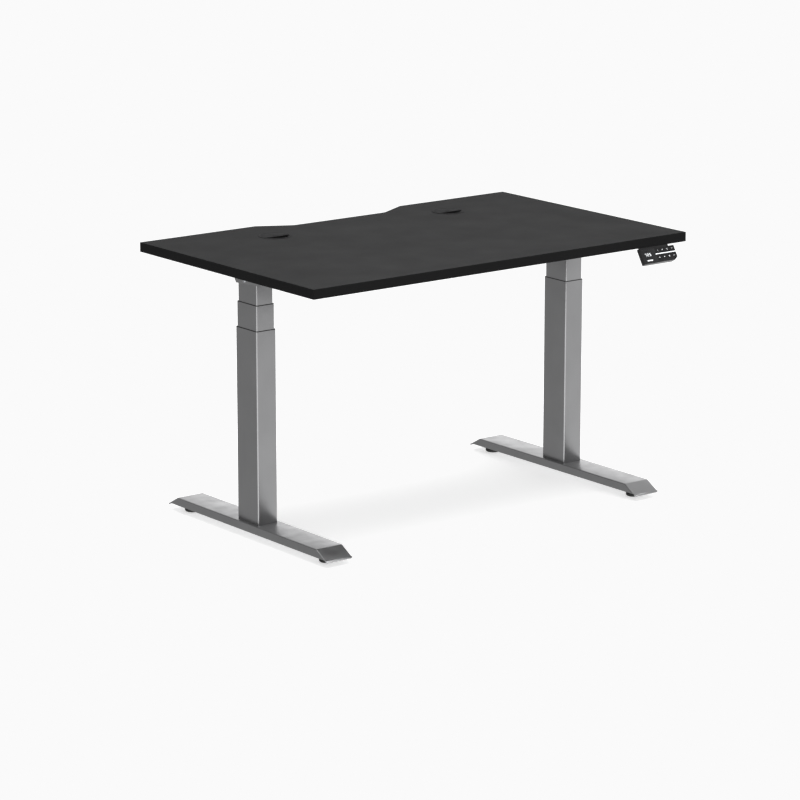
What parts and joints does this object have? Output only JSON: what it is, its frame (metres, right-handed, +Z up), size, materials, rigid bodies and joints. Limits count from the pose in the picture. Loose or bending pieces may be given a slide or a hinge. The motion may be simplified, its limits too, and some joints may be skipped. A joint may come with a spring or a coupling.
{
  "type": "height adjustable standing desk",
  "caption": "Height adjustable standing desk: black desktop with rear scallop and cable grommets on two telescopic grey steel legs with T feet, drive motors, control box and keypad.",
  "frame": {"origin": "on the floor, in the middle of the whole footprint, which includes the keypad that stands out past the front edge", "axes": "+Z up, +X along the desktop to the user's right, +Y from the user towards the rear edge with the scallop"},
  "size_m": [1.2, 0.7723, 0.712],
  "materials": {
    "board": "matt black laminate on particle board",
    "edge_band": "matt black edge band",
    "black_plastic": "fine moulded texture",
    "glide_plastic": "matt",
    "pad_plastic": "matt",
    "grey_steel": "satin grey powder coat",
    "bare_steel": "mill finish",
    "screw_steel": "rolled thread steel, greased",
    "brass_nut": "machined",
    "cast_head": "as cast",
    "motor_case": "satin black",
    "zinc_fasteners": "bright zinc plate",
    "box_plastic": "fine moulded texture",
    "circuit_board": "solder mask",
    "keypad_plastic": "fine moulded texture",
    "display_window": "smoked acrylic",
    "key_plastic": "satin"
  },
  "bodies": {
    "base": {"foot_left": "grey_steel", "column_base_left": "bare_steel", "outer_tube_left": "grey_steel", "outer_glide_left": "glide_plastic", "fixed_screw_left": "screw_steel", "foot_right": "grey_steel", "column_base_right": "bare_steel", "outer_tube_right": "grey_steel", "outer_glide_right": "glide_plastic", "fixed_screw_right": "screw_steel", "foot_hardware": "zinc_fasteners"},
    "pad_front_left": {"levelling_pad_front_left": "pad_plastic"},
    "pad_front_right": {"levelling_pad_front_right": "pad_plastic"},
    "pad_rear_left": {"levelling_pad_rear_left": "pad_plastic"},
    "pad_rear_right": {"levelling_pad_rear_right": "pad_plastic"},
    "middle_left": {"middle_tube_left": "grey_steel", "middle_glide_left": "glide_plastic", "nut_post_left": "bare_steel", "lift_nut_left": "brass_nut"},
    "drive_left": {"drive_tube_left": "screw_steel"},
    "middle_right": {"middle_tube_right": "grey_steel", "middle_glide_right": "glide_plastic", "nut_post_right": "bare_steel", "lift_nut_right": "brass_nut"},
    "drive_right": {"drive_tube_right": "screw_steel"},
    "top": {"desktop": "board", "edge_band": "edge_band", "desk_screws": "zinc_fasteners", "frame_bolts": "zinc_fasteners", "rail_front": "grey_steel", "rail_rear": "grey_steel", "control_box_tray": "box_plastic", "control_box_lid": "box_plastic", "control_board": "circuit_board", "keypad_housing": "keypad_plastic", "keypad_cover": "keypad_plastic", "keypad_display": "display_window", "keypad_board": "circuit_board", "side_bracket_left": "grey_steel", "drive_head_left": "cast_head", "motor_left": "motor_case", "inner_tube_left": "grey_steel", "grommet_ring_left": "black_plastic", "side_bracket_right": "grey_steel", "drive_head_right": "cast_head", "motor_right": "motor_case", "inner_tube_right": "grey_steel", "grommet_ring_right": "black_plastic"},
    "cap_left": {"grommet_cap_left": "black_plastic"},
    "screw_left": {"hollow_screw_left": "screw_steel"},
    "cap_right": {"grommet_cap_right": "black_plastic"},
    "screw_right": {"hollow_screw_right": "screw_steel"},
    "key_1_body": {"key_1": "key_plastic"},
    "key_2_body": {"key_2": "key_plastic"},
    "key_3_body": {"key_3": "key_plastic"},
    "key_4_body": {"key_4": "key_plastic"},
    "key_5_body": {"key_5": "key_plastic"},
    "key_6_body": {"key_6": "key_plastic"},
    "key_7_body": {"key_7": "key_plastic"},
    "key_8_body": {"key_8": "key_plastic"}
  },
  "joints": [
    {"name": "lift", "type": "slide", "parent": "base", "child": "top", "axis": [0, 0, 1], "range_m": [-0.086, 0.564]},
    {"name": "middle_left_slide", "type": "slide", "parent": "base", "child": "middle_left", "axis": [0, 0, 1], "range_m": [-0.043, 0.282]},
    {"name": "screw_left_turn", "type": "hinge", "parent": "top", "child": "screw_left", "pos_m": [-0.505, 0.01133, 0.66], "axis": [0, 0, 1], "range_deg": [-1935.01, 12690.01]},
    {"name": "drive_left_turn", "type": "hinge", "parent": "middle_left", "child": "drive_left", "pos_m": [-0.505, 0.01133, 0.35], "axis": [0, 0, 1], "range_deg": [-1935.01, 12690.01]},
    {"name": "middle_right_slide", "type": "slide", "parent": "base", "child": "middle_right", "axis": [0, 0, 1], "range_m": [-0.043, 0.282]},
    {"name": "screw_right_turn", "type": "hinge", "parent": "top", "child": "screw_right", "pos_m": [0.505, 0.01133, 0.66], "axis": [0, 0, 1], "range_deg": [-1935.01, 12690.01]},
    {"name": "drive_right_turn", "type": "hinge", "parent": "middle_right", "child": "drive_right", "pos_m": [0.505, 0.01133, 0.35], "axis": [0, 0, 1], "range_deg": [-1935.01, 12690.01]},
    {"name": "pad_front_left_turn", "type": "hinge", "parent": "base", "child": "pad_front_left", "pos_m": [-0.505, -0.28267, 0.01], "axis": [0, 0, 1], "continuous": true},
    {"name": "pad_front_right_turn", "type": "hinge", "parent": "base", "child": "pad_front_right", "pos_m": [0.505, -0.28267, 0.01], "axis": [0, 0, 1], "continuous": true},
    {"name": "pad_rear_left_turn", "type": "hinge", "parent": "base", "child": "pad_rear_left", "pos_m": [-0.505, 0.30533, 0.01], "axis": [0, 0, 1], "continuous": true},
    {"name": "pad_rear_right_turn", "type": "hinge", "parent": "base", "child": "pad_rear_right", "pos_m": [0.505, 0.30533, 0.01], "axis": [0, 0, 1], "continuous": true},
    {"name": "cap_left_turn", "type": "hinge", "parent": "top", "child": "cap_left", "pos_m": [-0.2775, 0.24433, 0.7115], "axis": [0, 0, 1], "continuous": true},
    {"name": "cap_right_turn", "type": "hinge", "parent": "top", "child": "cap_right", "pos_m": [0.2925, 0.24433, 0.7115], "axis": [0, 0, 1], "continuous": true},
    {"name": "key_1_press", "type": "slide", "parent": "top", "child": "key_1_body", "axis": [0, 0.8572, -0.515], "range_m": [0, 0.0005], "stiffness_N_per_m": 400, "springref_m": -0.0005},
    {"name": "key_2_press", "type": "slide", "parent": "top", "child": "key_2_body", "axis": [0, 0.8572, -0.515], "range_m": [0, 0.0005], "stiffness_N_per_m": 400, "springref_m": -0.0005},
    {"name": "key_3_press", "type": "slide", "parent": "top", "child": "key_3_body", "axis": [0, 0.8572, -0.515], "range_m": [0, 0.0005], "stiffness_N_per_m": 400, "springref_m": -0.0005},
    {"name": "key_4_press", "type": "slide", "parent": "top", "child": "key_4_body", "axis": [0, 0.8572, -0.515], "range_m": [0, 0.0005], "stiffness_N_per_m": 400, "springref_m": -0.0005},
    {"name": "key_5_press", "type": "slide", "parent": "top", "child": "key_5_body", "axis": [0, 0.8572, -0.515], "range_m": [0, 0.0005], "stiffness_N_per_m": 400, "springref_m": -0.0005},
    {"name": "key_6_press", "type": "slide", "parent": "top", "child": "key_6_body", "axis": [0, 0.8572, -0.515], "range_m": [0, 0.0005], "stiffness_N_per_m": 400, "springref_m": -0.0005},
    {"name": "key_7_press", "type": "slide", "parent": "top", "child": "key_7_body", "axis": [0, 0.8572, -0.515], "range_m": [0, 0.0005], "stiffness_N_per_m": 400, "springref_m": -0.0005},
    {"name": "key_8_press", "type": "slide", "parent": "top", "child": "key_8_body", "axis": [0, 0.8572, -0.515], "range_m": [0, 0.0005], "stiffness_N_per_m": 400, "springref_m": -0.0005}
  ],
  "couplings": [
    {"joint": "middle_left_slide", "follows": "lift", "ratio": 0.5},
    {"joint": "screw_left_turn", "follows": "lift", "rad_per_m": 392.7},
    {"joint": "drive_left_turn", "follows": "lift", "rad_per_m": 392.7},
    {"joint": "middle_right_slide", "follows": "lift", "ratio": 0.5},
    {"joint": "screw_right_turn", "follows": "lift", "rad_per_m": 392.7},
    {"joint": "drive_right_turn", "follows": "lift", "rad_per_m": 392.7}
  ]
}
